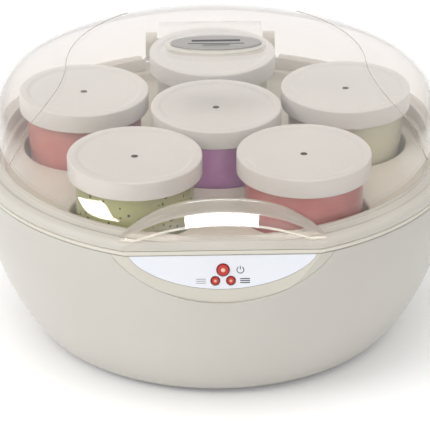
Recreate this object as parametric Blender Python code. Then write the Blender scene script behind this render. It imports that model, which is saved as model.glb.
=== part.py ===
"""Countertop yogurt maker: six lidded glass jars in a heated tray under a hinged clear dome.

Metres, +Z up, +Y to the hinge at the back. Heights named *_Z are above the table.
"""
import math

import bmesh
import bpy
from mathutils import Vector

# Overall shape.
CENTRE_Y = -0.00185          # body axis, so that the whole object is centred on the origin
RIM_R = 0.126                # widest radius, at the lid's flange
RIM_Z = 0.0936               # underside of the lid's flange
BASE_R = 0.0935
BASE_Z = 0.003
GAP = 0.0003
ROUND = 44                   # sides of the large turned pieces
SMALL = 28                   # sides of jars and their lids

# Body shell and base.
WALL = 0.0025
SEAM_Z = RIM_Z - 0.0027      # top of the shell, under the deck's rim
PLATE_R = 0.0905
PLATE_Z = 0.004
PLATE_T = 0.0025
SCREW_RING = 0.0862
SCREW_R = 0.0014
BOSS_TOP_Z = 0.022
FOOT_R = 0.008
FOOT_RING = 0.072
INLET_Z = 0.018
INLET_R = 0.0047

# Deck with its six wells.
DECK_TOP_Z = RIM_Z - 0.0004
DECK_UNDER_Z = RIM_Z - 0.0024
TRAY_R = 0.110
FLOOR_Z = RIM_Z - 0.006
FLOOR_T = 0.0025
WELL_R = 0.033
WELL_WALL = 0.0015
WELL_Z = 0.0376
JAR_RING = 0.0724
JAR_ANGLES = (90, 162, 234, 306, 18)

# Jars.
GLASS_R = 0.030
GLASS_WALL = 0.0022
GLASS_Z = WELL_Z + GAP
GLASS_TOP_Z = RIM_Z + 0.0233
FILL_Z = RIM_Z + 0.017
CAP_R = 0.034
CAP_Z = RIM_Z + 0.0159
CAP_TOP_Z = RIM_Z + 0.02635

# Clear lid.
DOME_R = 0.1155
DOME_T = 0.0022
FLANGE_T = 0.0058
APEX_Z = RIM_Z + 0.060
HOOD_SPREAD = math.radians(24)
HOOD_OUT = 0.0048
HOOD_T = 0.002
BADGE_A = 0.0235
BADGE_B = 0.009

# Hinge.
HINGE_Y = 0.1185
HINGE_Z = RIM_Z + 0.013
HINGE_R = 0.005
LUG_X = 0.0285
POST_X0 = 0.0295
POST_X1 = 0.036
PIN_R = 0.0015
NOTCH = math.radians(18.5)

# Control panel: a flat face that leans back, cut across the front of the bowl.
PANEL_Y = -0.116
PANEL_LEAN = math.atan(0.215)
BEZEL_W = 0.0548
BEZEL_D = 0.0233
BEZEL_BOW = 0.79
LABEL_W = 0.046
LABEL_D = 0.0170
LABEL_DOWN = 0.00275
LABEL_BOW = 0.70
LABEL_T = 0.0006
RECESS = 0.0009
PANEL_T = 0.0033
TRAVEL = 0.0008
# name, across, down the panel, cap radius, collar radius
BUTTONS = (
    ("power_button", 0.0, 0.0100, 0.00285, 0.0035),
    ("thin_button", -0.00385, 0.0155, 0.00195, 0.0026),
    ("thick_button", 0.00385, 0.0155, 0.00195, 0.0026),
)


def clear_scene():
    for old in list(bpy.data.objects):
        bpy.data.objects.remove(old, do_unlink=True)


def plastic(name, colour, roughness, alpha=1.0, metallic=0.0):
    material = bpy.data.materials.new(name)
    material.use_nodes = True
    shader = material.node_tree.nodes["Principled BSDF"]
    shader.inputs["Base Color"].default_value = (*colour, 1.0)
    shader.inputs["Roughness"].default_value = roughness
    shader.inputs["Metallic"].default_value = metallic
    shader.inputs["Alpha"].default_value = alpha
    material.diffuse_color = (*colour, alpha)
    return material


def empty(name, location, parent=None, lean=0.0):
    point = bpy.data.objects.new(name, None)
    point.location = location
    point.rotation_euler = (lean, 0.0, 0.0)
    point.parent = parent
    bpy.context.scene.collection.objects.link(point)
    return point


def add_object(name, mesh, material, parent, location=(0.0, 0.0, 0.0)):
    piece = bpy.data.objects.new(name, mesh)
    piece.location = location
    piece.parent = parent
    if material and not mesh.materials:
        mesh.materials.append(material)
    bpy.context.scene.collection.objects.link(piece)
    return piece


def finish_mesh(name, bm):
    bmesh.ops.recalc_face_normals(bm, faces=bm.faces)
    mesh = bpy.data.meshes.new(name)
    bm.to_mesh(mesh)
    bm.free()
    mesh.shade_smooth()
    mesh.set_sharp_from_angle(angle=math.radians(35))
    return mesh


def join_rings(bm, first, second):
    """Faces between two rings; a ring of one vertex is a pole."""
    count = max(len(first), len(second))
    for k in range(count):
        after = (k + 1) % count
        if len(first) == 1:
            bm.faces.new((first[0], second[after], second[k]))
        elif len(second) == 1:
            bm.faces.new((first[k], first[after], second[0]))
        else:
            bm.faces.new((first[k], first[after], second[after], second[k]))


def turned(name, profile, sides):
    """Turn (radius, height) points about Z. A profile that starts off the axis is a closed ring."""
    bm = bmesh.new()
    rings = []
    for radius, height in profile:
        if radius == 0.0:
            rings.append([bm.verts.new((0.0, 0.0, height))])
            continue
        angles = [2 * math.pi * k / sides for k in range(sides)]
        rings.append([bm.verts.new((radius * math.cos(a), radius * math.sin(a), height)) for a in angles])
    for first, second in zip(rings, rings[1:]):
        join_rings(bm, first, second)
    if profile[0][0] > 0.0:
        join_rings(bm, rings[-1], rings[0])
    return finish_mesh(name, bm)


def add_prism(bm, outline, low, high, along):
    """A prism on an outline of (a, b) points, along X with (y, z) points or along Z with (x, y)."""
    ends = []
    for level in (low, high):
        if along == "X":
            ends.append([bm.verts.new((level, a, b)) for a, b in outline])
        else:
            ends.append([bm.verts.new((a, b, level)) for a, b in outline])
    bm.faces.new(ends[0])
    bm.faces.new(ends[1])
    join_rings(bm, ends[0], ends[1])


def prism(name, outline, low, high, along="Z"):
    bm = bmesh.new()
    add_prism(bm, outline, low, high, along)
    return finish_mesh(name, bm)


def circle(radius, sides, centre=(0.0, 0.0), squash=1.0):
    angles = [2 * math.pi * k / sides for k in range(sides)]
    return [
        (centre[0] + radius * math.cos(a), centre[1] + radius * squash * math.sin(a)) for a in angles
    ]


def block(name, low, high):
    corners = [(low[0], low[1]), (high[0], low[1]), (high[0], high[1]), (low[0], high[1])]
    return prism(name, corners, low[2], high[2])


def arc_block(name, inner, outer, low, high, half_angle, steps=8):
    """A block between two radii, centred on +Y."""
    angles = [math.pi / 2 - half_angle + 2 * half_angle * k / steps for k in range(steps + 1)]
    outline = [(outer * math.cos(a), outer * math.sin(a)) for a in angles]
    outline += [(inner * math.cos(a), inner * math.sin(a)) for a in reversed(angles)]
    return prism(name, outline, low, high)


def combine(target, mesh, operation, parent, location=(0.0, 0.0, 0.0)):
    """Add a helper solid and a boolean that uses it."""
    helper = add_object(f"{target.name}_{mesh.name}", mesh, None, parent, location)
    helper.hide_render = True
    helper.display_type = "WIRE"
    boolean = target.modifiers.new(mesh.name, "BOOLEAN")
    boolean.object = helper
    boolean.operation = operation
    boolean.solver = "EXACT"
    return helper


def bezier(points, count):
    """Points on a cubic curve, first to last."""
    p0, p1, p2, p3 = (Vector(p) for p in points)
    curve = []
    for k in range(count + 1):
        t = k / count
        s = 1 - t
        curve.append(s**3 * p0 + 3 * s * s * t * p1 + 3 * s * t * t * p2 + t**3 * p3)
    return curve


def bowl_profile(inset, top, bottom, count=7):
    """The bowl's outer curve moved in by a wall, between two heights, top first."""
    ends = ((RIM_R, RIM_Z), (RIM_R + 0.0003, 0.062), (0.110, 0.018), (BASE_R, BASE_Z))
    fine = bezier(ends, 80)
    moved = []
    for before, after in zip(fine, fine[1:]):
        step = (after - before).normalized()
        middle = (before + after) / 2
        moved.append(middle + inset * Vector((step.y, -step.x)))
    levels = [top + (bottom - top) * (k / count) for k in range(count + 1)]
    return [(radius_at(moved, level), level) for level in levels]


def radius_at(curve, level):
    """Radius of a falling curve at a height, carried on in line past its ends."""
    for before, after in zip(curve, curve[1:]):
        if after.y <= level or after is curve[-1]:
            part = (level - before.y) / (after.y - before.y)
            return before.x + part * (after.x - before.x)
    return curve[0].x


def crescent(width, depth, bow, steps=20, top=0.0):
    """The panel's outline: a straight top edge and one long bow under it."""
    outline = []
    for k in range(steps + 1):
        across = -1 + 2 * k / steps
        outline.append((width * across, -depth * (1 - across * across) ** bow))
    if top:
        outline = [(-width, top)] + outline + [(width, top)]
    return outline


def rim_height(z):
    return RIM_Z + z


# ---- Base and body ----


def make_base(centre, looks):
    top_z = PLATE_Z + PLATE_T
    disc = [(0.0, PLATE_Z), (PLATE_R, PLATE_Z), (PLATE_R, top_z), (0.0, top_z)]
    plate = add_object("base_plate", turned("base_plate", disc, SMALL), looks["grey"], centre)
    posts = bmesh.new()
    for k in range(3):
        angle = math.radians(30 + 120 * k)
        spot = (0.066 * math.cos(angle), 0.066 * math.sin(angle))
        add_prism(posts, circle(0.004, 12, spot), PLATE_Z + 0.001, 0.0252, "Z")
    combine(plate, finish_mesh("insulation_posts", posts), "UNION", centre)
    holes = bmesh.new()
    for spot in screw_spots():
        add_prism(holes, circle(SCREW_R + GAP, 12, spot), 0.0, 0.010, "Z")
    combine(plate, finish_mesh("screw_holes", holes), "DIFFERENCE", centre)

    foot = [(0.0, 0.0), (FOOT_R - 0.001, 0.0), (FOOT_R, 0.001)]
    foot += [(FOOT_R, PLATE_Z - GAP), (0.0, PLATE_Z - GAP)]
    foot_mesh = turned("foot", foot, 20)
    for k in range(4):
        angle = math.radians(90 * k)
        spot = (FOOT_RING * math.cos(angle), FOOT_RING * math.sin(angle), 0.0)
        add_object(f"foot_{k + 1}", foot_mesh, looks["rubber"], centre, spot)

    head_z = PLATE_Z - 0.0019
    screw = [(0.0, head_z), (0.003, head_z), (0.003, PLATE_Z - GAP)]
    screw += [(SCREW_R, PLATE_Z - GAP), (SCREW_R, 0.0165), (0.0, 0.0165)]
    screw_mesh = turned("base_screw", screw, 12)
    for k, (x, y) in enumerate(screw_spots()):
        add_object(f"base_screw_{k + 1}", screw_mesh, looks["steel"], centre, (x, y, 0.0))


def screw_spots():
    angles = [math.radians(45 + 90 * k) for k in range(4)]
    return [(SCREW_RING * math.cos(a), SCREW_RING * math.sin(a)) for a in angles]


def make_body_shell(centre, looks):
    outer = bowl_profile(0.0, SEAM_Z, BASE_Z)
    inner = bowl_profile(WALL, SEAM_Z, BASE_Z)
    profile = outer + list(reversed(inner))
    shell = add_object("body_shell", turned("body_shell", profile, ROUND), looks["shell"], centre)

    bosses = bmesh.new()
    for k, spot in enumerate(screw_spots()):
        add_prism(bosses, circle(0.0042, 12, spot), 0.0068, BOSS_TOP_Z, "Z")
    combine(shell, finish_mesh("bosses", bosses), "UNION", centre)
    ribs = bmesh.new()
    for k in range(4):
        angle = math.radians(45 + 90 * k)
        along = Vector((math.cos(angle), math.sin(angle)))
        side = Vector((-along.y, along.x)) * 0.0012
        start, end = along * (SCREW_RING + 0.001), along * 0.0985
        corners = [start - side, end - side, end + side, start + side]
        add_prism(ribs, [tuple(c) for c in corners], 0.0115, 0.0205, "Z")
    combine(shell, finish_mesh("ribs", ribs), "UNION", centre)
    bores = bmesh.new()
    for spot in screw_spots():
        add_prism(bores, circle(SCREW_R + GAP, 12, spot), 0.004, 0.0172, "Z")
    combine(shell, finish_mesh("screw_bores", bores), "DIFFERENCE", centre)

    window = prism("panel_window", crescent(BEZEL_W + 0.0004, BEZEL_D + 0.0004, BEZEL_BOW, top=0.01), 0, 0.05)
    cutter = combine(shell, window, "DIFFERENCE", centre, (0.0, -0.09, SEAM_Z))
    cutter.rotation_euler = (math.radians(90), 0.0, 0.0)
    hole = prism("inlet_hole", circle(INLET_R + GAP, 16), -0.130, -0.090)
    cutter = combine(shell, hole, "DIFFERENCE", centre, (0.0, 0.0, INLET_Z))
    cutter.rotation_euler = (math.radians(90), 0.0, 0.0)


def make_cord_inlet(centre, looks):
    """Gland in the back wall, with a blind socket where the lead would enter."""
    face, back = 0.1085, 0.094
    profile = [(0.0, -face + 0.003), (0.0028, -face + 0.003), (0.0028, -face), (INLET_R, -face)]
    profile += [(INLET_R, -back), (0.0, -back)]
    gland = add_object("cord_inlet", turned("cord_inlet", profile, 20), looks["rubber"], centre)
    gland.location = (0.0, 0.0, INLET_Z)
    gland.rotation_euler = (math.radians(90), 0.0, 0.0)


def make_heater(centre, looks):
    def disc(name, inner, outer, low, high, material, spot=(0.0, 0.0), sides=SMALL):
        if inner:
            profile = [(inner, low), (outer, low), (outer, high), (inner, high)]
        else:
            profile = [(0.0, low), (outer, low), (outer, high), (0.0, high)]
        add_object(name, turned(name, profile, sides), looks[material], centre, (*spot, 0.0))

    disc("heater_plate", 0.0, 0.078, 0.0336, 0.0356, "aluminium")
    disc("heater_element", 0.048, 0.058, 0.0300, 0.0333, "steel")
    disc("insulation_pad", 0.014, 0.080, 0.0255, 0.0295, "felt")
    disc("thermostat", 0.0, 0.008, 0.0210, 0.0333, "dark", sides=20)
    disc("thermal_fuse", 0.0, 0.003, 0.0298, 0.0333, "steel", (0.0, 0.036), 12)

    board = block("power_supply", (-0.024, 0.046, 0.0092), (0.024, 0.078, 0.0108))
    supply = add_object("power_supply", board, looks["board"], centre)
    transformer = block("transformer", (-0.016, 0.050, 0.0100), (0.010, 0.074, 0.0235))
    combine(supply, transformer, "UNION", centre)
    capacitor = prism("capacitor", circle(0.004, 14, (0.017, 0.062)), 0.0100, 0.0220)
    combine(supply, capacitor, "UNION", centre)


# ---- Deck ----


def jar_spots():
    spots = [(0.0, 0.0)]
    for degrees in JAR_ANGLES:
        angle = math.radians(degrees)
        spots.append((JAR_RING * math.cos(angle), JAR_RING * math.sin(angle)))
    return spots


def make_deck(centre, looks):
    profile = [
        (0.0, FLOOR_Z),
        (TRAY_R, FLOOR_Z),
        (TRAY_R + 0.0005, DECK_TOP_Z),
        (RIM_R - 0.0006, DECK_TOP_Z),
        (RIM_R, DECK_TOP_Z - 0.0006),
        (RIM_R, DECK_UNDER_Z),
        (TRAY_R + 0.003, DECK_UNDER_Z),
        (TRAY_R + 0.0027, FLOOR_Z),
        (TRAY_R + 0.0002, FLOOR_Z - FLOOR_T),
        (0.0, FLOOR_Z - FLOOR_T),
    ]
    deck = add_object("top_deck", turned("top_deck", profile, ROUND), looks["cream"], centre)
    front = block("front_flat", (-0.07, -0.15, RIM_Z - 0.02), (0.07, PANEL_Y, RIM_Z + 0.02))
    combine(deck, front, "DIFFERENCE", centre)

    cups = bmesh.new()
    wells = bmesh.new()
    for spot in jar_spots():
        add_prism(cups, circle(WELL_R + WELL_WALL, SMALL, spot), WELL_Z - WELL_WALL, FLOOR_Z - 0.001, "Z")
        add_prism(wells, circle(WELL_R, SMALL, spot), WELL_Z, FLOOR_Z + 0.002, "Z")
    combine(deck, finish_mesh("cups", cups), "UNION", centre)
    combine(deck, finish_mesh("wells", wells), "DIFFERENCE", centre)

    plinth = arc_block(
        "plinth", TRAY_R + 0.0012, RIM_R - 0.0004, DECK_TOP_Z - 0.001, RIM_Z + 0.0062, NOTCH - 0.008
    )
    combine(deck, plinth, "UNION", centre)
    for side, low in (("left", -POST_X1), ("right", POST_X0)):
        post = prism(f"post_{side}", post_outline(), low, low + POST_X1 - POST_X0, "X")
        combine(deck, post, "UNION", centre)
    bore = prism("pin_bores", circle(PIN_R + GAP, 12, (HINGE_Y, HINGE_Z)), -0.04, 0.04, "X")
    combine(deck, bore, "DIFFERENCE", centre)


def post_outline():
    """Upright with a round top about the hinge axis, as (y, z) points."""
    foot_z = RIM_Z + 0.003
    arc = [math.radians(180 * k / 8) for k in range(9)]
    top = [(HINGE_Y + HINGE_R * math.cos(a), HINGE_Z + HINGE_R * math.sin(a)) for a in arc]
    return [(HINGE_Y + HINGE_R, foot_z)] + top + [(HINGE_Y - HINGE_R, foot_z)]


def make_hinge_pins(centre, looks):
    for side, low in (("left", -0.0356), ("right", 0.0246)):
        pin = prism("hinge_pin", circle(PIN_R, 12), low, low + 0.011, "X")
        add_object(f"hinge_pin_{side}", pin, looks["steel"], centre, (0.0, HINGE_Y, HINGE_Z))


# ---- Jars ----


def make_jars(centre, looks):
    glass = [
        (0.0, GLASS_Z),
        (GLASS_R - 0.003, GLASS_Z),
        (GLASS_R, GLASS_Z + 0.003),
        (GLASS_R, GLASS_TOP_Z),
        (GLASS_R - GLASS_WALL, GLASS_TOP_Z),
        (GLASS_R - GLASS_WALL, GLASS_Z + 0.0055),
        (GLASS_R - GLASS_WALL - 0.0015, GLASS_Z + 0.004),
        (0.0, GLASS_Z + 0.004),
    ]
    fill_r = GLASS_R - GLASS_WALL - 0.0004
    fill_z = GLASS_Z + 0.0044
    fill = [(0.0, fill_z), (fill_r - 0.0016, fill_z), (fill_r, fill_z + 0.0016)]
    fill += [(fill_r, FILL_Z), (0.0, FILL_Z)]
    cap = [
        (0.0, CAP_TOP_Z - 0.0016),
        (0.0022, CAP_TOP_Z - 0.0016),
        (0.0024, CAP_TOP_Z - 0.0009),
        (0.0205, CAP_TOP_Z - 0.0007),
        (0.0222, CAP_TOP_Z),
        (CAP_R - 0.003, CAP_TOP_Z),
        (CAP_R - 0.0009, CAP_TOP_Z - 0.0009),
        (CAP_R, CAP_TOP_Z - 0.003),
        (CAP_R, CAP_Z),
        (GLASS_R + 0.001, CAP_Z),
        (GLASS_R + 0.001, GLASS_TOP_Z + GAP),
        (0.0, GLASS_TOP_Z + GAP),
    ]
    glass_mesh = turned("jar", glass, SMALL)
    cap_mesh = turned("jar_lid", cap, SMALL)
    colours = ("purple", "white", "pink", "green", "rose", "pale")
    for k, (x, y) in enumerate(jar_spots()):
        stand = empty(f"jar_axis_{k + 1}", (x, y, 0.0), centre)
        add_object(f"jar_{k + 1}", glass_mesh, looks["glass"], stand)
        filling = turned(f"yogurt_{k + 1}", fill, SMALL)
        add_object(f"yogurt_{k + 1}", filling, looks[colours[k]], stand)
        add_object(f"jar_lid_{k + 1}", cap_mesh, looks["white"], stand)


# ---- Clear lid ----


def dome_profile(inset):
    """Outer curve from the apex to the foot of the wall, moved in by a wall thickness."""
    shoulder = ((0.098, 0.0437), (0.108, 0.0395), (0.1145, 0.0370), (0.1150, 0.0240))
    crown = ((0.0, 0.060), (0.040, 0.060), (0.072, 0.0535), (0.098, 0.0437))
    curve = bezier(crown, 4) + bezier(shoulder, 4)[1:] + [Vector((DOME_R, FLANGE_T))]
    moved = []
    for k, point in enumerate(curve):
        before = curve[max(k - 1, 0)]
        after = curve[min(k + 1, len(curve) - 1)]
        step = (after - before).normalized()
        if k == 0:
            step = Vector((1.0, 0.0))
        moved.append((max(point.x + inset * step.y, 0.0), RIM_Z + point.y - inset * step.x))
    return moved


def make_lid(hinge, looks):
    back = (0.0, -HINGE_Y, -HINGE_Z)
    outline = dome_profile(0.0) + [
        (RIM_R - 0.0015, rim_height(0.0042)),
        (RIM_R, rim_height(0.0028)),
        (RIM_R, RIM_Z),
        (0.0, RIM_Z),
    ]
    lid = add_object("lid_dome", turned("lid_dome", outline, ROUND), looks["clear"], hinge, back)
    front = block("front_flat", (-0.07, -0.15, RIM_Z - 0.01), (0.07, PANEL_Y, RIM_Z + 0.02))
    combine(lid, front, "DIFFERENCE", hinge, back)
    combine(lid, lug_mesh(), "UNION", hinge, back)
    combine(lid, hood_mesh(), "UNION", hinge, back)
    boss = prism("badge_boss", circle(0.026, 28, squash=0.5), APEX_Z - 0.0014, APEX_Z + 0.0008)
    combine(lid, boss, "UNION", hinge, back)
    inside = dome_profile(DOME_T)
    inside += [(inside[-1][0], RIM_Z - 0.01), (0.0, RIM_Z - 0.01)]
    combine(lid, turned("inside", inside, ROUND), "DIFFERENCE", hinge, back)
    notch = arc_block("notch", 0.100, 0.140, RIM_Z - 0.01, RIM_Z + 0.0070, NOTCH)
    combine(lid, notch, "DIFFERENCE", hinge, back)
    for side, low in (("left", -0.030), ("right", 0.0242)):
        round_hole = circle(PIN_R + GAP, 12, (HINGE_Y, HINGE_Z))
        bore = prism(f"bore_{side}", round_hole, low, low + 0.0058, "X")
        combine(lid, bore, "DIFFERENCE", hinge, back)

    oval = circle(BADGE_A, 28, squash=BADGE_B / BADGE_A)
    plate = prism("lid_badge", oval, APEX_Z + 0.0011, APEX_Z + 0.0019)
    add_object("lid_badge", plate, looks["silver"], hinge, back)


def lug_mesh():
    """Hinge lug: a knuckle about the pins and a web that runs into the dome."""
    arc = [math.radians(-90 + 130 * k / 8) for k in range(9)]
    outline = [(0.100, HINGE_Z - HINGE_R)]
    outline += [(HINGE_Y + HINGE_R * math.cos(a), HINGE_Z + HINGE_R * math.sin(a)) for a in arc]
    outline += [(0.1185, rim_height(0.0220)), (0.1145, rim_height(0.0262)), (0.100, rim_height(0.0262))]
    return prism("lug", outline, -LUG_X, LUG_X, "X")


def hood_mesh():
    """Finger hood: an arched visor that stands off the front wall, open underneath."""
    steps = 14
    bm = bmesh.new()
    rings = []
    for k in range(steps + 1):
        across = 0.94 * (-1 + 2 * k / steps)
        angle = -math.pi / 2 + across * HOOD_SPREAD
        ring = []
        for radius, height in hood_section(across):
            ring.append(bm.verts.new((radius * math.cos(angle), radius * math.sin(angle), height)))
        rings.append(ring)
    bm.faces.new(rings[0])
    bm.faces.new(rings[-1])
    for first, second in zip(rings, rings[1:]):
        join_rings(bm, first, second)
    return finish_mesh("hood", bm)


def hood_section(across):
    """Closed (radius, height) section of the hood at -1 to 1 across it."""
    top = 0.0059 + 0.0218 * (1 - abs(across) ** 2.2) ** 0.78
    lip = 0.0052 + 0.0098 * max(0.0, 1 - (across / 0.92) ** 2)
    drop = top - lip
    out = HOOD_OUT * math.sqrt(1 - across * across) + 0.0004
    thick = min(HOOD_T, 0.25 * drop)
    root = DOME_R - 0.0016
    skin = [(0.0, 0.0), (0.6 * out, 0.06 * drop), (0.92 * out, 0.25 * drop)]
    skin += [(out, 0.55 * drop), (out, drop)]
    outer = [(root + 0.0008 * (r > 0.0) + r, rim_height(top - d)) for r, d in skin]
    face = outer[-1][0] - thick
    inner = [(root, rim_height(top) - thick), (face, rim_height(top - 0.3 * drop) - 0.3 * thick)]
    return outer + [(face, rim_height(lip))] + list(reversed(inner))


# ---- Control panel ----


def make_bezel(centre, looks):
    bottom = SEAM_Z - 0.032
    outer = [(0.0, SEAM_Z)] + bowl_profile(0.0, SEAM_Z, bottom, 4) + [(0.0, bottom)]
    bezel = add_object("front_bezel", turned("front_bezel", outer, ROUND), looks["cream"], centre)
    front = prism("crescent", crescent(BEZEL_W, BEZEL_D, BEZEL_BOW, top=0.01), 0.0, 0.05)
    outline = combine(bezel, front, "INTERSECT", centre, (0.0, -0.09, SEAM_Z))
    outline.rotation_euler = (math.radians(90), 0.0, 0.0)

    lean = (math.radians(90) - PANEL_LEAN, 0.0, 0.0)
    face = (0.0, PANEL_Y, RIM_Z)
    slab = block("flat", (-0.08, -0.06, 0.0), (0.08, 0.02, 0.03))
    flat = combine(bezel, slab, "DIFFERENCE", centre, face)
    flat.rotation_euler = lean

    inner = [(0.0, SEAM_Z + 0.01)] + bowl_profile(0.003, SEAM_Z + 0.01, bottom - 0.01, 5)
    inner += [(0.0, bottom - 0.01)]
    hollow = combine(bezel, turned("hollow", inner, ROUND), "DIFFERENCE", centre)
    behind = block("behind", (-0.08, -0.06, -PANEL_T), (0.08, 0.02, 0.03))
    keep = combine(hollow, behind, "DIFFERENCE", centre, face)
    keep.rotation_euler = lean

    recess_outline = crescent(LABEL_W + GAP, LABEL_D + GAP, LABEL_BOW, top=0.0015)
    recess = combine(bezel, prism("recess", recess_outline, -RECESS, 0.002), "DIFFERENCE", centre)
    recess.location = panel_point(0.0, LABEL_DOWN, 0.0)
    recess.rotation_euler = lean
    holes = bmesh.new()
    for name, across, down, cap_r, collar_r in BUTTONS:
        add_prism(holes, circle(cap_r + GAP, 20, (across, -down)), -0.006, 0.002, "Z")
    drill = combine(bezel, finish_mesh("button_holes", holes), "DIFFERENCE", centre, face)
    drill.rotation_euler = lean
    pillars = bmesh.new()
    for side in (-1, 1):
        add_prism(pillars, circle(0.0025, 12, (side * 0.022, -0.0185)), -0.0128, -PANEL_T + 0.001, "Z")
    posts = combine(bezel, finish_mesh("pillars", pillars), "UNION", centre, face)
    posts.rotation_euler = lean


def panel_point(across, down, out):
    """Point on the leaning panel: along X, down its face, and out along its normal."""
    lean = PANEL_LEAN
    y = PANEL_Y - down * math.sin(lean) - out * math.cos(lean)
    z = RIM_Z - down * math.cos(lean) + out * math.sin(lean)
    return (across, y, z)


def make_label(panel, looks):
    outline = crescent(LABEL_W, LABEL_D, LABEL_BOW)
    plate = prism("panel_label", outline, -RECESS + GAP, -RECESS + GAP + LABEL_T)
    label = add_object("panel_label", plate, looks["label"], panel, (0.0, -LABEL_DOWN, 0.0))
    holes = bmesh.new()
    for name, across, down, cap_r, collar_r in BUTTONS:
        add_prism(holes, circle(cap_r + GAP, 20, (across, -down)), -0.002, 0.002, "Z")
    combine(label, finish_mesh("button_holes", holes), "DIFFERENCE", panel)


def make_buttons(panel, looks):
    for name, across, down, cap_r, collar_r in BUTTONS:
        collar = -PANEL_T - GAP
        profile = [
            (0.0, 0.0009),
            (cap_r - 0.0006, 0.0008),
            (cap_r, 0.0003),
            (cap_r, collar),
            (collar_r, collar),
            (collar_r, collar - 0.001),
            (0.0, collar - 0.001),
        ]
        add_object(name, turned(name, profile, 20), looks["red"], panel, (across, -down, 0.0))
        switch_name = name.replace("_button", "_switch")
        half = 0.00225
        body = block(switch_name, (-half, -half, -0.0111), (half, half, -0.0072))
        switch = add_object(switch_name, body, looks["dark"], panel, (across, -down, 0.0))
        stem = prism("stem", circle(0.0012, 12), -0.0080, collar - 0.001 - TRAVEL - 0.0004)
        combine(switch, stem, "UNION", panel, (across, -down, 0.0))

    board = block("control_board", (-0.028, -0.0265, -0.0130), (0.028, -0.0072, -0.0114))
    plate = add_object("control_board", board, looks["board"], panel)
    holes = bmesh.new()
    for side in (-1, 1):
        add_prism(holes, circle(0.0028, 12, (side * 0.022, -0.0185)), -0.015, -0.010, "Z")
    combine(plate, finish_mesh("pillar_holes", holes), "DIFFERENCE", panel)


def main():
    clear_scene()
    looks = {
        "shell": plastic("shell ABS", (0.69, 0.66, 0.60), 0.35),
        "cream": plastic("cream ABS", (0.70, 0.68, 0.56), 0.35),
        "grey": plastic("grey ABS", (0.55, 0.54, 0.50), 0.5),
        "rubber": plastic("rubber", (0.05, 0.05, 0.05), 0.8),
        "steel": plastic("steel", (0.6, 0.6, 0.6), 0.3, metallic=1.0),
        "aluminium": plastic("aluminium", (0.8, 0.8, 0.8), 0.4, metallic=1.0),
        "felt": plastic("insulation", (0.75, 0.72, 0.65), 0.9),
        "dark": plastic("black nylon", (0.03, 0.03, 0.03), 0.5),
        "board": plastic("circuit board", (0.05, 0.25, 0.10), 0.5),
        "glass": plastic("jar glass", (0.9, 0.95, 0.95), 0.05, alpha=0.35),
        "clear": plastic("clear acrylic", (0.95, 0.94, 0.92), 0.05, alpha=0.30),
        "silver": plastic("silver foil", (0.6, 0.6, 0.62), 0.3, metallic=0.6),
        "label": plastic("panel print", (0.86, 0.88, 0.92), 0.4),
        "red": plastic("red ABS", (0.60, 0.05, 0.04), 0.3),
        "white": plastic("white PP", (0.72, 0.69, 0.64), 0.4),
        "purple": plastic("blueberry yogurt", (0.33, 0.12, 0.31), 0.6),
        "pink": plastic("strawberry yogurt", (0.58, 0.27, 0.25), 0.6),
        "green": plastic("kiwi yogurt", (0.37, 0.38, 0.17), 0.6),
        "rose": plastic("cherry yogurt", (0.47, 0.16, 0.14), 0.6),
        "pale": plastic("pear yogurt", (0.62, 0.59, 0.46), 0.6),
    }
    centre = empty("centre", (0.0, CENTRE_Y, 0.0))
    hinge = empty("lid_hinge", (0.0, HINGE_Y, HINGE_Z), centre)
    panel = empty("panel", (0.0, PANEL_Y, RIM_Z), centre, math.radians(90) - PANEL_LEAN)
    make_base(centre, looks)
    make_body_shell(centre, looks)
    make_cord_inlet(centre, looks)
    make_heater(centre, looks)
    make_deck(centre, looks)
    make_hinge_pins(centre, looks)
    make_jars(centre, looks)
    make_lid(hinge, looks)
    make_bezel(centre, looks)
    make_label(panel, looks)
    make_buttons(panel, looks)


main()
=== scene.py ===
import bmesh
import bpy
import math
from mathutils import Matrix, Vector


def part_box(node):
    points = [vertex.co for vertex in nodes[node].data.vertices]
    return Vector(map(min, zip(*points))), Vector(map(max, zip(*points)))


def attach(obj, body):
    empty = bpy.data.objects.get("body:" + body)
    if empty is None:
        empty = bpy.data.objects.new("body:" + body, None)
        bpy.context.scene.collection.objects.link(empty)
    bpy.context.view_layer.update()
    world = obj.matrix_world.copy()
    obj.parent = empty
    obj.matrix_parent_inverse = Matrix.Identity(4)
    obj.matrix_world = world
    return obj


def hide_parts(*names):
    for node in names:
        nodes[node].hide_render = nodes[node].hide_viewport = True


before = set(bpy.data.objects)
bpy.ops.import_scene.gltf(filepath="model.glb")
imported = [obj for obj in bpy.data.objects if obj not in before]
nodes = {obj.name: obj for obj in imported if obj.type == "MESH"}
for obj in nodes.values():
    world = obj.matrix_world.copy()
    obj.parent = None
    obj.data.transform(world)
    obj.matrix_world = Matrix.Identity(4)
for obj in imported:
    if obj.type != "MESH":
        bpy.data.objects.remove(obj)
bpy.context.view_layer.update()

# the shell's box gives the middle of the round body, and the lid's foot gives the rim's height
shellLow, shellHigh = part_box("body_shell")
rimRadius = (shellHigh.x - shellLow.x) / 2
centreY = shellHigh.y - rimRadius
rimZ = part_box("lid_dome")[0].z
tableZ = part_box("foot_1")[0].z
toCentre = Matrix.Translation((0, centreY, 0))


def toLinear(hexColour):
    values = [int(hexColour[i:i + 2], 16) / 255 for i in (1, 3, 5)]
    return [v / 12.92 if v <= 0.04045 else ((v + 0.055) / 1.055) ** 2.4 for v in values] + [1.0]


def addNode(tree, kind, settings=None, links=None):
    # settings are attributes or input values, links are input name to output socket
    made = tree.nodes.new(kind)
    for key, value in (settings or {}).items():
        if isinstance(key, str) and hasattr(made, key):
            setattr(made, key, value)
        else:
            made.inputs[key].default_value = value
    connect(tree, made, links or {})
    return made


def connect(tree, node, links):
    for key, socket in links.items():
        tree.links.new(socket, node.inputs[key])


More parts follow.
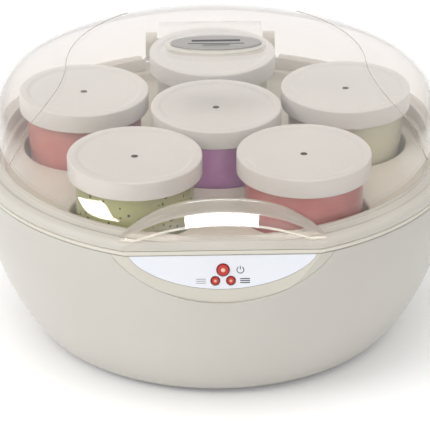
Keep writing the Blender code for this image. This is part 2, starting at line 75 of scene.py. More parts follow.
def newMaterial(name, settings):
    material = bpy.data.materials.new(name)
    material.use_nodes = True
    tree = material.node_tree
    tree.nodes.clear()
    shader = addNode(tree, "ShaderNodeBsdfPrincipled", settings)
    addNode(tree, "ShaderNodeOutputMaterial", links={"Surface": shader.outputs[0]})
    return material, tree, shader


def blended(tree, factor, finish):
    # a colour that wanders between the finish's two
    ends = {6: toLinear(finish["colour"]), 7: toLinear(finish["shade"])}
    return addNode(tree, "ShaderNodeMix", {"data_type": "RGBA", **ends},
                   {"Factor": factor}).outputs[2]


plainFinish = {"rough": 0.5, "cloudSize": 0.004, "peelSize": 0.001, "peel": 0.05, "glow": 0.0}


def moulded(name, finish):
    # plastic from a mould: faint cloudiness, an orange-peel skin and uneven gloss
    finish = {**plainFinish, **finish}
    material, tree, shader = newMaterial(name, {
        "IOR": 1.53, "Subsurface Weight": finish["glow"], "Subsurface Scale": 0.004})
    place = addNode(tree, "ShaderNodeTexCoord").outputs["Object"]
    cloud = addNode(tree, "ShaderNodeTexNoise", {"Scale": 1 / finish["cloudSize"], "Detail": 3.0},
                    {"Vector": place})
    gloss = addNode(tree, "ShaderNodeMapRange",
                    {"To Min": finish["rough"] - 0.03, "To Max": finish["rough"] + 0.04},
                    {"Value": cloud.outputs["Fac"]})
    peel = addNode(tree, "ShaderNodeTexNoise", {"Scale": 1 / finish["peelSize"], "Detail": 2.0},
                   {"Vector": place})
    bump = addNode(tree, "ShaderNodeBump", {"Strength": finish["peel"], "Distance": 0.0002},
                   {"Height": peel.outputs["Fac"]})
    connect(tree, shader, {"Base Color": blended(tree, cloud.outputs["Fac"], finish),
                           "Roughness": gloss.outputs[0], "Normal": bump.outputs[0]})
    return material


def clearMoulding(name, finish):
    # clear plastic or glass that lamps shine through; the eye sees edges and highlights
    material, tree, shader = newMaterial(name, {
        "Base Color": toLinear(finish["colour"]), "Transmission Weight": 1.0,
        "IOR": finish["ior"], "Coat Weight": finish.get("coat", 0.0), "Coat Roughness": 0.02})
    place = addNode(tree, "ShaderNodeTexCoord").outputs["Object"]
    smear = addNode(tree, "ShaderNodeTexNoise", {"Scale": 1 / finish["smearSize"], "Detail": 2.0},
                    {"Vector": place})
    gloss = addNode(tree, "ShaderNodeMapRange",
                    {"From Min": 0.35, "To Min": finish["rough"], "To Max": finish["rough"] * 2.2},
                    {"Value": smear.outputs["Fac"]})
    wave = addNode(tree, "ShaderNodeBump", {"Strength": finish["wave"], "Distance": 0.0005},
                   {"Height": smear.outputs["Fac"]})
    connect(tree, shader, {"Roughness": gloss.outputs[0], "Normal": wave.outputs[0]})
    lamp = addNode(tree, "ShaderNodeLightPath").outputs["Is Shadow Ray"]
    veil = addNode(tree, "ShaderNodeBsdfTransparent", {"Color": toLinear(finish["lampColour"])})
    blend = addNode(tree, "ShaderNodeMixShader",
                    links={0: lamp, 1: shader.outputs[0], 2: veil.outputs[0]})
    connect(tree, tree.nodes["Material Output"], {"Surface": blend.outputs[0]})
    return material


def metalFinish(name, finish):
    # plated or rolled metal: fine streaks along one way
    material, tree, shader = newMaterial(name, {"Metallic": finish.get("metallic", 1.0)})
    place = addNode(tree, "ShaderNodeTexCoord").outputs["Object"]
    stretch = addNode(tree, "ShaderNodeMapping", {"Scale": finish["grain"]}, {"Vector": place})
    streak = addNode(tree, "ShaderNodeTexNoise", {"Scale": 1.0, "Detail": 3.0},
                     {"Vector": stretch.outputs[0]})
    gloss = addNode(tree, "ShaderNodeMapRange",
                    {"To Min": finish["rough"] - 0.06, "To Max": finish["rough"] + 0.1},
                    {"Value": streak.outputs["Fac"]})
    connect(tree, shader, {"Base Color": blended(tree, streak.outputs["Fac"], finish),
                           "Roughness": gloss.outputs[0]})
    return material


# ABS from a polished mould: soft broad highlights on warm white
shellAbs = moulded("shellAbs", {"colour": "#D2CEC6", "shade": "#CBC7BF", "rough": 0.30,
                                "cloudSize": 0.06, "peelSize": 0.0025, "peel": 0.04})
# and in charcoal under the base, out of sight: painted shade, dark so that the gap under the body
# stays in deep shadow
baseAbs = moulded("baseAbs", {"colour": "#4A4845", "shade": "#403E3C", "cloudSize": 0.03,
                              "peel": 0.2})
# the same plastic in cream, as the deck and bezel are
deckAbs = moulded("deckAbs", {"colour": "#D8D3C7", "shade": "#D0CBBE", "rough": 0.28,
                              "cloudSize": 0.05, "peelSize": 0.0025, "peel": 0.04})
# polypropylene caps: waxy, a little light inside, satin
capPp = moulded("capPolypropylene", {"colour": "#DEDDDB", "shade": "#D8D7D4", "rough": 0.30,
                                     "cloudSize": 0.03, "peelSize": 0.0018, "peel": 0.06,
                                     "glow": 0.08})
# painted shade: the vent hole's inside is coloured dark where hardly any light falls
ventShade = moulded("ventShade", {"colour": "#4B443D", "shade": "#3E3832", "rough": 0.6})
# polycarbonate lid: clear with the faintest warm tint
clearPc = clearMoulding("clearPolycarbonate", {"colour": "#FBF7F4", "ior": 1.14, "rough": 0.02,
                                               "smearSize": 0.05, "wave": 0.02, "coat": 1.0,
                                               "lampColour": "#FAF8F5"})
# pressed soda glass
jarGlass = clearMoulding("pressedGlass", {"colour": "#FBFDFB", "ior": 1.46, "rough": 0.01,
                                          "smearSize": 0.02, "wave": 0.05,
                                          "lampColour": "#F6F8F6"})


def paintedEdgeLight(name, finish):
    # painted light and shade: thick clear plastic seen edge-on gathers and bends light, and that
    # look is painted in as a tinted, partly see-through colour
    material = moulded(name, finish)
    shader = material.node_tree.nodes["Principled BSDF"]
    shader.inputs["Alpha"].default_value = finish["cover"]
    shader.inputs["Coat Weight"].default_value = 0.6
    shader.inputs["Coat Roughness"].default_value = 0.03
    return material


# the lid's rim and badge seat, milky: painted light, a cream standing in for the deck's light bent
# through the thick clear rim
milkyPc = paintedEdgeLight("edgeLitPolycarbonate", {
    "colour": "#EAE5DB", "shade": "#E2DCD1", "rough": 0.22, "cloudSize": 0.04, "peelSize": 0.003,
    "peel": 0.02, "cover": 0.72})
# the grip's rolled edge: painted shade, grey for the dark that the thick plastic makes by bending
# light
browShadePc = paintedEdgeLight("rolledEdgeShadedPolycarbonate", {
    "colour": "#B9B1A5", "shade": "#B0A89B", "rough": 0.2, "cloudSize": 0.02, "peelSize": 0.003,
    "peel": 0.02, "cover": 0.78})
# the pressed line: painted shade, a thin grey-brown trace for the dark that the fold makes by
# bending light
creaseShadePc = paintedEdgeLight("foldLinePaintedShade", {"colour": "#C6BAAF", "shade": "#BAADA1", "rough": 0.3,
                                    "cloudSize": 0.02, "peelSize": 0.002, "peel": 0.02,
                                    "cover": 0.45})
# cool white film with matt inks
panelFilm = moulded("printedFilm", {"colour": "#EFF1F7", "shade": "#EAEDF4", "rough": 0.34,
                                    "cloudSize": 0.03, "peelSize": 0.0012, "peel": 0.03})
inkGrey = moulded("screenInk", {"colour": "#3E3C3E", "shade": "#454345", "cloudSize": 0.01})
rimBrown = moulded("ringInk", {"colour": "#4A211B", "shade": "#55281F", "rough": 0.45})
# glossy red keys round a frosted lens; a faint painted glow brightens each lens, with no lamp
# inside
buttonRed = moulded("lampRedAbs", {"colour": "#C9352C", "shade": "#BD2D26", "rough": 0.2,
                                   "peel": 0.02, "glow": 0.2})
lensPink = moulded("frostedLens", {"colour": "#FFD2BC", "shade": "#FBC3A8", "rough": 0.22,
                                   "cloudSize": 0.003, "peel": 0.02, "glow": 0.3})
# painted light: the lens glows faintly
lensPaintedGlow = lensPink.node_tree.nodes["Principled BSDF"].inputs
lensPaintedGlow["Emission Color"].default_value = toLinear("#FF9C78")
lensPaintedGlow["Emission Strength"].default_value = 0.08
# feet and inner parts: dull rubber, nylon, board and felt, then streaked metals
footRubber = moulded("mouldedRubber", {"colour": "#2B2A29", "shade": "#232221", "rough": 0.75,
                                       "cloudSize": 0.006, "peelSize": 0.0012, "peel": 0.25})
nylonBlack = moulded("nylonBlack", {"colour": "#1E1E1F", "shade": "#262627", "peel": 0.1})
fibreBoard = moulded("fibreBoard", {"colour": "#2E6B3F", "shade": "#275C37", "rough": 0.45,
                                    "peelSize": 0.0006, "peel": 0.2})
needledFelt = moulded("needledFelt", {"colour": "#D6CFBF", "shade": "#C6BEAC", "rough": 0.92,
                                      "peelSize": 0.0008, "peel": 0.8})
zincSteel = metalFinish("zincSteel", {"colour": "#B9BABB", "shade": "#9FA1A3", "rough": 0.32,
                                      "grain": (300.0, 300.0, 3000.0)})
rolledAluminium = metalFinish("rolledAluminium", {"colour": "#D5D6D8", "shade": "#C4C6C9",
                                                  "rough": 0.38, "grain": (2000.0, 60.0, 60.0)})
# the badge's pale foil, only half metallic so that it stays light
brushedFoil = metalFinish("brushedFoil", {"colour": "#BCB8B6", "shade": "#A5A19F", "rough": 0.38,
                                          "grain": (60.0, 2500.0, 60.0), "metallic": 0.45})


def yogurtLook(name, finish):
    # smooth, wet and a little translucent, with slow swirls from stirring
    material, tree, shader = newMaterial(name, {
        "Roughness": 0.35, "Subsurface Weight": 0.15, "Subsurface Scale": 0.005})
    place = addNode(tree, "ShaderNodeTexCoord").outputs["Object"]
    swirl = addNode(tree, "ShaderNodeTexNoise", {"Scale": 45.0, "Detail": 3.0, "Distortion": 1.2},
                    {"Vector": place})
    ramp = addNode(tree, "ShaderNodeValToRGB", links={"Fac": swirl.outputs["Fac"]})
    ramp.color_ramp.elements[0].position = 0.35
    ramp.color_ramp.elements[0].color = toLinear(finish["colour"])
    ramp.color_ramp.elements[1].position = 0.70
    ramp.color_ramp.elements[1].color = toLinear(finish["swirl"])
    grain = addNode(tree, "ShaderNodeTexNoise", {"Scale": 900.0, "Detail": 2.0}, {"Vector": place})
    bump = addNode(tree, "ShaderNodeBump", {"Strength": 0.15, "Distance": 0.0003},
                   {"Height": grain.outputs["Fac"]})
    connect(tree, shader, {"Base Color": ramp.outputs[0], "Normal": bump.outputs[0]})
    return material


yogurtFinish = {
    1: ("blueberryYogurt", {"colour": "#CE78CC", "swirl": "#D88CD4"}),
    2: ("plainYogurt", {"colour": "#EDE9E0", "swirl": "#E6E1D6"}),
    3: ("strawberryYogurt", {"colour": "#EBA29E", "swirl": "#F0AFAA"}),
    4: ("kiwiYogurt", {"colour": "#BFC07E", "swirl": "#CBCC8E"}),
    5: ("cherryYogurt", {"colour": "#D97C7C", "swirl": "#E08D8B"}),
    6: ("pearYogurt", {"colour": "#EDE9D2", "swirl": "#F1EEDC"}),
}
seedBrown = moulded("kiwiSeed", {"colour": "#4A4A22", "shade": "#3A3A1C", "cloudSize": 0.002})


def bezier(points, count):
    p0, p1, p2, p3 = (Vector(p) for p in points)
    curve = []
    for k in range(count + 1):
        t = k / count
        s = 1 - t
        curve.append(s**3 * p0 + 3 * s * s * t * p1 + 3 * s * t * t * p2 + t**3 * p3)
    return curve


def offsetLine(line, distance):
    # moves a (radius, height) line sideways; the ends keep their own direction
    moved = []
    for k, point in enumerate(line):
        before = line[max(k - 1, 0)]
        after = line[min(k + 1, len(line) - 1)]
        step = (Vector(after) - Vector(before)).normalized()
        moved.append(Vector((point[0] + distance * step[1], point[1] - distance * step[0])))
    return moved


def roundCorner(before, corner, after, radius, count=5):
    # replaces a corner of an outline by a short curve
    corner = Vector(corner)
    start = corner + (Vector(before) - corner).normalized() * radius
    end = corner + (Vector(after) - corner).normalized() * radius
    return [(1 - t)**2 * start + 2 * t * (1 - t) * corner + t * t * end
            for t in (k / count for k in range(count + 1))]


def softOutline(points, radii):
    # a closed or open outline with every listed corner rounded
    result = []
    for k, point in enumerate(points):
        radius = radii.get(k, 0)
        if radius:
            before, after = points[k - 1], points[(k + 1) % len(points)]
            result += roundCorner(before, point, after, radius)
        else:
            result.append(Vector(point))
    return result


def joinRings(bm, first, second):
    count = max(len(first), len(second))
    for k in range(count):
        after = (k + 1) % count
        if len(first) == 1:
            bm.faces.new((first[0], second[after], second[k]))
        elif len(second) == 1:
            bm.faces.new((first[k], first[after], second[0]))
        else:
            bm.faces.new((first[k], first[after], second[after], second[k]))


def turned(profile, sides, closed=False):
    bm = bmesh.new()
    rings = []
    for radius, height in profile:
        if radius < 1e-7:
            rings.append([bm.verts.new((0, 0, height))])
            continue
        angles = [2 * math.pi * k / sides for k in range(sides)]
        rings.append([bm.verts.new((radius * math.cos(a), radius * math.sin(a), height))
                      for a in angles])
    for first, second in zip(rings, rings[1:]):
        joinRings(bm, first, second)
    if closed:
        joinRings(bm, rings[-1], rings[0])
    return toMesh(bm)


def toMesh(bm):
    bmesh.ops.recalc_face_normals(bm, faces=bm.faces)
    mesh = bpy.data.meshes.new("shape")
    bm.to_mesh(mesh)
    bm.free()
    return mesh


def prism(outline, low, high, along="Z"):
    bm = bmesh.new()
    ends = []
    for level in (low, high):
        ends.append([bm.verts.new((level, a, b) if along == "X" else (a, b, level))
                     for a, b in outline])
    bm.faces.new(ends[0])
    bm.faces.new(ends[1])
    joinRings(bm, ends[0], ends[1])
    return toMesh(bm)


def circle(radius, sides, centre=(0, 0)):
    angles = [2 * math.pi * k / sides for k in range(sides)]
    return [(centre[0] + radius * math.cos(a), centre[1] + radius * math.sin(a)) for a in angles]


def moved(mesh, matrix):
    mesh.transform(matrix)
    return mesh


def merged(meshes):
    bm = bmesh.new()
    for mesh in meshes:
        bm.from_mesh(mesh)
    mesh = bpy.data.meshes.new("shape")
    bm.to_mesh(mesh)
    bm.free()
    return mesh


def placed(name, data):
    thing = bpy.data.objects.new(name, data)
    bpy.context.scene.collection.objects.link(thing)
    return thing


def carve(mesh, steps):
    # steps are (operation, mesh); the result is one plain mesh
    body = placed("work", mesh)
    helpers = []
    for operation, tool in steps:
        helper = placed("tool", tool)
        helpers.append(helper)
        change = body.modifiers.new("carve", "BOOLEAN")
        change.object = helper
        change.operation = operation
        change.solver = "EXACT"
    return bakeObject(body, helpers)


def bakeObject(body, helpers=()):
    bpy.context.view_layer.update()
    graph = bpy.context.evaluated_depsgraph_get()
    mesh = bpy.data.meshes.new_from_object(body.evaluated_get(graph))
    for old in (body, *helpers):
        bpy.data.objects.remove(old, do_unlink=True)
    return mesh


def smoothed(mesh, degrees=32):
    mesh.shade_smooth()
    mesh.set_sharp_from_angle(angle=math.radians(degrees))
    return mesh


def addPiece(name, mesh, material, body, replaced=()):
    if len(mesh.materials):
        mesh.materials.clear()
    mesh.materials.append(material)
    piece = placed(name, mesh)
    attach(piece, body)
    if replaced:
        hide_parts(*replaced)
    return piece


# the body is one turned bowl, and the panel's pieces are cut to it
bowl = {"sides": 160, "wall": 0.0025, "seamDrop": 0.0027, "baseRadius": 0.0935, "baseZ": 0.003,
        "shoulder": (0.0003, 0.062), "heel": (0.110, 0.018), "steps": 44, "lip": 0.0008,
        "innerFoot": 0.091, "innerFrom": 0.006, "inlet": 0.005}
panel = {"y": -0.116, "lean": math.atan(0.215), "bezelWidth": 0.0548, "bezelDepth": 0.0233,
         "bezelBow": 0.79, "labelWidth": 0.046, "labelDepth": 0.0170, "labelDown": 0.00275,
         "labelBow": 0.70, "recess": 0.0009, "gap": 0.0002, "below": 0.032, "wall": 0.0033,
         "film": 0.0007, "drill": 0.0003}
buttons = {"power_button": (0.0, 0.0100, 0.00285), "thin_button": (-0.00385, 0.0155, 0.00195),
           "thick_button": (0.00385, 0.0155, 0.00195)}
seamZ = rimZ - bowl["seamDrop"]
panelTurn = Matrix.Rotation(math.radians(90) - panel["lean"], 4, "X")
panelPlace = Matrix.Translation((0, centreY + panel["y"], rimZ)) @ panelTurn
labelPlace = panelPlace @ Matrix.Translation((0, -panel["labelDown"], 0))
upright = Matrix.Rotation(math.radians(90), 4, "X")
crescentPlace = Matrix.Translation((0, centreY - 0.09, seamZ)) @ upright


def bowlLine():
    ends = ((rimRadius, rimZ), (rimRadius + bowl["shoulder"][0], bowl["shoulder"][1]),
            bowl["heel"], (bowl["baseRadius"], bowl["baseZ"]))
    return bezier(ends, bowl["steps"])


def bowlSolid(inset, top, bottom):
    # a solid of the bowl between two heights, its wall moved in by inset
    line = offsetLine(bowlLine(), inset)
    inside = [p for p in line if bottom < p.y < top]
    topR, bottomR = radiusAt(line, top), radiusAt(line, bottom)
    profile = [(0, top), (topR, top)] + inside + [(bottomR, bottom), (0, bottom)]
    return turned(profile, bowl["sides"])


def radiusAt(line, level):
    for before, after in zip(line, line[1:]):
        if after.y <= level or after is line[-1]:
            part = (level - before.y) / (after.y - before.y)
            return before.x + part * (after.x - before.x)
    return line[0].x


def crescent(width, depth, bow, top=0.0, steps=64):
    outline = []
    for k in range(steps + 1):
        across = -math.cos(math.pi * k / steps)
        outline.append(Vector((width * across, -depth * (1 - across * across) ** bow)))
    if top:
        outline = [Vector((-width, top))] + outline + [Vector((width, top))]
    return outline


def makeShell():
    lipZ = seamZ - bowl["lip"]
    outer = [p for p in bowlLine() if p.y < lipZ]
    topR = radiusAt(bowlLine(), seamZ)
    lip = [(topR - bowl["lip"], seamZ), (topR - 0.00025, seamZ - 0.0002),
           (radiusAt(bowlLine(), lipZ), lipZ)]
    foot = [(bowl["baseRadius"] + 0.0003, bowl["baseZ"] + 0.0006),
            (bowl["baseRadius"] - 0.0006, bowl["baseZ"])]
    outer = lip + outer[:-1] + foot
    inner = [p for p in offsetLine(bowlLine(), bowl["wall"])
             if bowl["innerFrom"] < p.y < seamZ - 0.001]
    innerFoot, innerTop = (bowl["innerFoot"], bowl["baseZ"]), (topR - bowl["wall"], seamZ)
    profile = [Vector(p) for p in outer + [innerFoot] + inner[::-1] + [innerTop]]
    shell = moved(turned(profile, bowl["sides"], closed=True), toCentre)
    window = prism(crescent(panel["bezelWidth"] + panel["gap"], panel["bezelDepth"] + panel["gap"],
                            panel["bezelBow"], 0.02), 0, 0.05)
    window = moved(window, crescentPlace)
    low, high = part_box("cord_inlet")
    inlet = Matrix.Translation((0, 0, (low.z + high.z) / 2)) @ upright
    hole = moved(prism(circle(bowl["inlet"], 40), -0.14, -0.09), inlet)
    mesh = smoothed(carve(shell, [("DIFFERENCE", window), ("DIFFERENCE", hole)]))
    addPiece("bowlShell", mesh, shellAbs, "base", ["body_shell"])


def makeBezel():
    floorZ = seamZ - panel["below"]
    solid = moved(bowlSolid(0.0, seamZ, floorZ), toCentre)
    outline = crescent(panel["bezelWidth"], panel["bezelDepth"], panel["bezelBow"], 0.02)
    crescentTool = moved(prism(outline, 0, 0.05), crescentPlace)
    sheet = [(-0.08, -0.06), (0.08, -0.06), (0.08, 0.02), (-0.08, 0.02)]
    flat = moved(prism(sheet, 0, 0.03), panelPlace)
    behind = moved(prism(sheet, -panel["wall"], 0.03), panelPlace)
    hollow = carve(moved(bowlSolid(0.003, seamZ + 0.001, floorZ - 0.001), toCentre),
                   [("DIFFERENCE", behind)])
    outline = crescent(panel["labelWidth"] + panel["gap"], panel["labelDepth"] + panel["gap"],
                       panel["labelBow"], 0.0012)
    recess = moved(prism(outline, -panel["recess"], 0.003), labelPlace)
    steps = [("INTERSECT", crescentTool), ("DIFFERENCE", flat), ("DIFFERENCE", hollow),
             ("DIFFERENCE", recess)]
    mesh = smoothed(carve(solid, steps + buttonDrills(-0.008)), 24)
    addPiece("panelBezel", mesh, deckAbs, "base", ["front_bezel"])


def buttonDrills(depth):
    return [("DIFFERENCE", moved(prism(circle(radius + panel["drill"], 40, (x, -down)), depth,
                                       0.003), panelPlace))
            for x, down, radius in buttons.values()]


def makeLabel():
    low = -panel["recess"] + 0.0001
    film = prism(crescent(panel["labelWidth"], panel["labelDepth"], panel["labelBow"]),
                 low, low + panel["film"])
    mesh = smoothed(carve(moved(film, labelPlace), buttonDrills(-0.003)))
    addPiece("panelFilm", mesh, panelFilm, "base", ["panel_label"])


marks = {"height": 0.00006, "surface": -0.0001, "powerAt": (0.0085, 0.0101), "powerRadius": 0.0019,
         "stroke": 0.00042, "ringGap": math.radians(35), "barLength": 0.0048, "barStep": 0.0010,
         "bars": ((-0.0108, 0.00022), (0.0108, 0.00050)), "down": 0.0156,
         "rim": (0.00025, 0.0005)}


def makeMarks():
    # plain signs printed on the film: a switch ring, three fine lines and three heavy ones
    parts = []
    x, down = marks["powerAt"]
    gapHalf = marks["ringGap"]
    ring = []
    for radius, order in ((marks["powerRadius"], 1), (marks["powerRadius"] - marks["stroke"], -1)):
        angles = [math.pi / 2 + gapHalf + (2 * math.pi - 2 * gapHalf) * k / 24 for k in range(25)]
        for a in angles[::order]:
            ring.append((x + radius * math.cos(a), -down + radius * math.sin(a)))
    low = marks["surface"] - 0.0001
    high = low + marks["height"] + 0.0001
    parts.append(prism(ring, low, high))
    parts.append(prism(bar(x, -down + 0.0011, marks["stroke"], 0.0017), low, high))
    for side, thick in marks["bars"]:
        for k in (-1, 0, 1):
            level = -marks["down"] + k * marks["barStep"]
            parts.append(prism(bar(side, level, marks["barLength"], thick), low, high))
    mesh = smoothed(moved(merged(parts), panelPlace))
    addPiece("panelMarks", mesh, inkGrey, "base")
    rims = []
    inside, outside = marks["rim"]
    for x, down, radius in buttons.values():
        lines = [(radius + inside, low), (radius + outside, low), (radius + outside, high),
                 (radius + inside, high)]
        rims.append(moved(turned(lines, 48, closed=True), Matrix.Translation((x, -down, 0))))
    mesh = smoothed(moved(merged(rims), panelPlace))
    addPiece("buttonRims", mesh, rimBrown, "base")


def bar(x, y, width, height):
    return [(x - width / 2, y - height / 2), (x + width / 2, y - height / 2),
            (x + width / 2, y + height / 2), (x - width / 2, y + height / 2)]


def makeButtons():
    for name, (x, down, radius) in buttons.items():
        edge = radius * 0.42
        face = [(0, 0.00045), (edge, 0.00045), (edge, 0.00070), (radius * 0.62, 0.00088),
                (radius * 0.85, 0.00085), (radius - 0.0002, 0.00060), (radius, 0.0002),
                (radius, -0.0042), (0, -0.0042)]
        place = panelPlace @ Matrix.Translation((x, -down, 0))
        body = name.replace("_button", "_key")
        mesh = smoothed(moved(turned(face, 48), place))
        addPiece(name.replace("_button", "Button"), mesh, buttonRed, body, [name])
        lens = [(0, 0.00088), (edge * 0.5, 0.00083), (edge - 0.0003, 0.00065),
                (edge - 0.00005, 0.00050), (edge - 0.00005, 0.00030), (0, 0.00030)]
        mesh = smoothed(moved(turned(lens, 40), place))
        addPiece(name.replace("_button", "Lens"), mesh, lensPink, body)


# the deck is one moulding: tray, wells, rim, rear plinth and hinge posts
deck = {"sides": 160, "tray": 0.110, "topDrop": 0.0004, "underDrop": 0.0024, "floorDrop": 0.006,
        "floorThick": 0.0025, "well": 0.033, "wellWall": 0.0015, "wellZ": 0.0376,
        "wellRound": 0.0016, "notch": math.radians(10.5)}
hinge = {"y": 0.1185, "z": 0.013, "radius": 0.005, "foot": 0.003, "postIn": 0.0295,
         "postOut": 0.036, "lug": 0.0285, "pin": 0.0018, "boreDeep": 0.0058,
         "boresFrom": (-0.030, 0.0242)}
hingeY, hingeZ = hinge["y"], rimZ + hinge["z"]


def jarSpots():
    # the jars' own boxes say where each stands
    spots = []
    for k in range(1, 7):
        low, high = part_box(f"jar_{k}")
        spots.append(((low.x + high.x) / 2, (low.y + high.y) / 2 - centreY))
    return spots


def arcBlock(inner, outer, low, high, halfAngle, steps=24):
    angles = [math.pi / 2 - halfAngle + 2 * halfAngle * k / steps for k in range(steps + 1)]
    outline = [(outer * math.cos(a), outer * math.sin(a)) for a in angles]
    outline += [(inner * math.cos(a), inner * math.sin(a)) for a in reversed(angles)]
    return prism(outline, low, high)


def hingeArc(start, sweep, steps=20):
    # round the hinge axis, as (y, z)
    angles = [math.radians(start + sweep * k / steps) for k in range(steps + 1)]
    return [(hingeY + hinge["radius"] * math.cos(a), hingeZ + hinge["radius"] * math.sin(a))
            for a in angles]


def frontCut(low, high):
    # takes off what stands in front of the panel's plane
    return prism([(-0.08, -0.16), (0.08, -0.16), (0.08, panel["y"]), (-0.08, panel["y"])],
                 low, high)


def makeDeck():
    top, under = rimZ - deck["topDrop"], rimZ - deck["underDrop"]
    floor = rimZ - deck["floorDrop"]
    tray = deck["tray"]
    corners = [(0, floor), (tray, floor), (tray + 0.0005, top), (rimRadius, top),
               (rimRadius, under), (tray + 0.003, under),
               (tray + 0.0025, floor - deck["floorThick"]),
               (0, floor - deck["floorThick"])]
    profile = softOutline(corners, {1: 0.0024, 2: 0.0012, 3: 0.0009, 4: 0.0005})
    solid = turned(profile, deck["sides"])
    front = frontCut(rimZ - 0.02, rimZ + 0.02)
    spots = jarSpots()
    cups, wells = [], []
    radius, mouth, bottom = deck["well"], deck["wellRound"], deck["wellZ"]
    outside, beneath = radius + deck["wellWall"], bottom - deck["wellWall"]
    flare = [(radius + mouth * (1 - math.cos(a)), floor - mouth + mouth * math.sin(a))
             for a in (math.radians(d) for d in (0, 22, 45, 68, 90))]
    for x, y in spots:
        cup = turned([(0, beneath), (outside, beneath), (outside, floor - 0.001),
                      (0, floor - 0.001)], 64)
        cups.append(moved(cup, Matrix.Translation((x, y, 0))))
        well = turned([(0, bottom), (radius - 0.002, bottom), (radius, bottom + 0.002), *flare,
                       (radius + mouth, floor + 0.003), (0, floor + 0.003)], 96)
        wells.append(moved(well, Matrix.Translation((x, y, 0))))
    plinth = arcBlock(tray + 0.0012, rimRadius - 0.0004, top - 0.001, rimZ + 0.0062, deck["notch"])
    steps = [("DIFFERENCE", front), ("UNION", merged(cups)), ("DIFFERENCE", merged(wells)),
             ("UNION", plinth)]
    outline = [(hingeY + hinge["radius"], rimZ + hinge["foot"]), *hingeArc(0, 180),
               (hingeY - hinge["radius"], rimZ + hinge["foot"])]
    for low, high in ((-hinge["postOut"], -hinge["postIn"]), (hinge["postIn"], hinge["postOut"])):
        steps.append(("UNION", prism(outline, low, high, "X")))
    bore = prism(circle(hinge["pin"], 24, (hingeY, hingeZ)), -0.04, 0.04, "X")
    steps.append(("DIFFERENCE", bore))
    mesh = smoothed(moved(carve(solid, steps), toCentre), 28)
    addPiece("trayDeck", mesh, deckAbs, "base", ["top_deck"])


# each jar is a glass, its contents and a cap
jar = {"radius": 0.030, "wall": 0.0022, "base": 0.004, "sides": 96}
cap = {"radius": 0.034, "skirt": 0.031, "sides": 96, "settle": 0.0005, "shoulder": 0.0010,
       "dish": 0.0300, "dishDeep": 0.0011, "hole": 0.0018, "holeDeep": 0.0021}


def makeJars():
    for k, (x, y) in enumerate(jarSpots(), start=1):
        low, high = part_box(f"jar_{k}")
        place = Matrix.Translation((x, y + centreY, 0))
        inner = jar["radius"] - jar["wall"]
        corners = [(0, low.z + 0.0006), (jar["radius"] - 0.006, low.z + 0.0006),
                   (jar["radius"] - 0.0072, low.z), (jar["radius"], low.z), (jar["radius"], high.z),
                   (inner, high.z), (inner, low.z + jar["base"]), (0, low.z + jar["base"])]
        profile = softOutline(corners, {3: 0.0035, 4: 0.0009, 5: 0.0009, 6: 0.0025})
        mesh = smoothed(moved(turned(profile, jar["sides"]), place))
        addPiece(f"jarGlass{k}", mesh, jarGlass, f"jar_body_{k}", [f"jar_{k}"])

        fillLow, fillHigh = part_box(f"yogurt_{k}")
        radius = inner + 0.0002  # optical contact: no air line between fill and glass
        corners = [(0, fillLow.z), (radius, fillLow.z), (radius, fillHigh.z),
                   (radius - 0.0016, fillHigh.z - 0.0006), (0, fillHigh.z - 0.0012)]
        profile = softOutline(corners, {1: 0.0025, 2: 0.0003})
        mesh = smoothed(moved(turned(profile, jar["sides"]), place))
        name, finish = yogurtFinish[k]
        addPiece(name, mesh, yogurtLook(name, finish), f"jar_body_{k}", [f"yogurt_{k}"])
        makeCap(k, place)


def makeCap(k, place):
    low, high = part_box(f"jar_lid_{k}")
    top = high.z - cap["settle"]
    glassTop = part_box(f"jar_{k}")[1].z
    outer, skirt = cap["radius"], cap["skirt"]
    dishZ, holeZ = top - cap["dishDeep"], top - cap["holeDeep"]
    corners = [(0, holeZ), (cap["hole"], holeZ), (cap["hole"], dishZ),
               (cap["dish"] - 0.0016, dishZ + 0.0002), (cap["dish"], top), (outer, top),
               (outer, low.z), (skirt, low.z), (skirt, glassTop + 0.0003), (0, glassTop + 0.0003)]
    profile = softOutline(corners, {1: 0.0003, 2: 0.0002, 3: 0.0012, 4: 0.0008, 5: cap["shoulder"],
                                    6: 0.0006, 7: 0.0004})
    mesh = smoothed(moved(turned(profile, cap["sides"]), place), 40)
    # the hole's wall and floor take the second material, the painted shade
    for face in mesh.polygons:
        away = math.hypot(face.center.x - place.translation.x, face.center.y - place.translation.y)
        face.material_index = int(away < cap["hole"] and face.normal.z > -0.5
                                  and face.center.z < dishZ - 0.0001)
    piece = addPiece(f"jarCap{k}", mesh, capPp, f"jar_cap_{k}", [f"jar_lid_{k}"])
    piece.data.materials.append(ventShade)


# seeds in the kiwi jar: points scattered on the fill's side, a small grain on each
seeds = {"jar": 4, "density": 26000.0, "size": 0.0007, "seed": 7, "least": (0.5, 0.5, 0.25),
         "most": (1.1, 1.6, 0.45), "fromBase": 0.004, "fromTop": 0.001}


def openTree(name, inputs):
    # a Geometry Nodes tree that takes a mesh and the named inputs
    tree = bpy.data.node_groups.new(name, "GeometryNodeTree")
    face = tree.interface
    face.new_socket("Geometry", in_out="INPUT", socket_type="NodeSocketGeometry")
    for label, (kind, value) in inputs.items():
        face.new_socket(label, in_out="INPUT", socket_type=kind).default_value = value
    face.new_socket("Geometry", in_out="OUTPUT", socket_type="NodeSocketGeometry")
    return tree, addNode(tree, "NodeGroupInput").outputs


def grown(name, mesh, tree, result, material):
    # closes the tree with its result, then bakes it on the mesh
    real = addNode(tree, "GeometryNodeRealizeInstances", links={0: result})
    paint = addNode(tree, "GeometryNodeSetMaterial", {"Material": material}, {0: real.outputs[0]})
    addNode(tree, "NodeGroupOutput", links={"Geometry": paint.outputs[0]})
    holder = placed(name, mesh)
    holder.modifiers.new("grow", "NODES").node_group = tree
    return smoothed(bakeObject(holder), 60)


